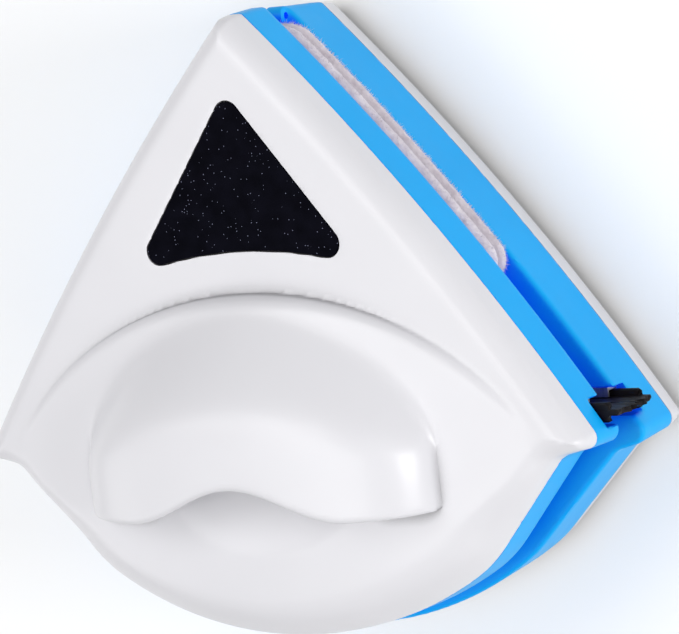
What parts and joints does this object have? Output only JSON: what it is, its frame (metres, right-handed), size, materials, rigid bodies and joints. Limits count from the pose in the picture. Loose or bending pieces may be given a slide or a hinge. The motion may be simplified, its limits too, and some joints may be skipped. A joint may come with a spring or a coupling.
{
  "type": "magnetic glass cleaner",
  "caption": "Triangular magnetic window wiper whose inner and outer halves carry fibre pads and rubber blades, with a hooded finger handle on the inner half.",
  "frame": {"origin": "bottom centre of the box around the whole object, on the outer half's flat back", "axes": "+Z from the outer half's back to the handle, +Y to the triangle's apex, +X across the wide corners"},
  "size_m": [0.1388, 0.1248, 0.0641],
  "materials": {
    "shell_white": "glossy white moulded plastic",
    "base_blue": "satin sky blue moulded plastic",
    "panel_black": "black with fine metallic flecks",
    "pad_fibre": "short-pile white fibre cloth",
    "hook_sheet": "fine plastic hooks",
    "blade_rubber": "black rubber",
    "channel_metal": "plain extruded",
    "magnet_nickel": "nickel plated",
    "yoke_steel": "zinc plated",
    "clamp_grey": "plain moulded",
    "screw_steel": "zinc plated",
    "tape_clear": "double-sided tape"
  },
  "bodies": {
    "outer_half": {"outer_shell": "shell_white", "outer_base": "base_blue", "outer_hook_sheet": "hook_sheet", "outer_pad": "pad_fibre", "outer_wiper_blade": "blade_rubber", "outer_blade_channel": "channel_metal", "outer_magnets": "magnet_nickel", "outer_yoke_plate": "yoke_steel", "outer_magnet_clamp": "clamp_grey", "outer_clamp_screws": "screw_steel", "outer_case_screws": "screw_steel"},
    "inner_half": {"inner_shell": "shell_white", "accent_panel": "panel_black", "panel_tape": "tape_clear", "inner_base": "base_blue", "inner_hook_sheet": "hook_sheet", "inner_pad": "pad_fibre", "inner_wiper_blade": "blade_rubber", "inner_blade_channel": "channel_metal", "inner_magnets": "magnet_nickel", "inner_yoke_plate": "yoke_steel", "inner_magnet_clamp": "clamp_grey", "inner_clamp_screws": "screw_steel", "inner_case_screws": "screw_steel"}
  },
  "joints": [
    {"name": "halves_part", "type": "slide", "parent": "outer_half", "child": "inner_half", "axis": [0, 0, 1], "range_m": [0, 0.05]}
  ]
}
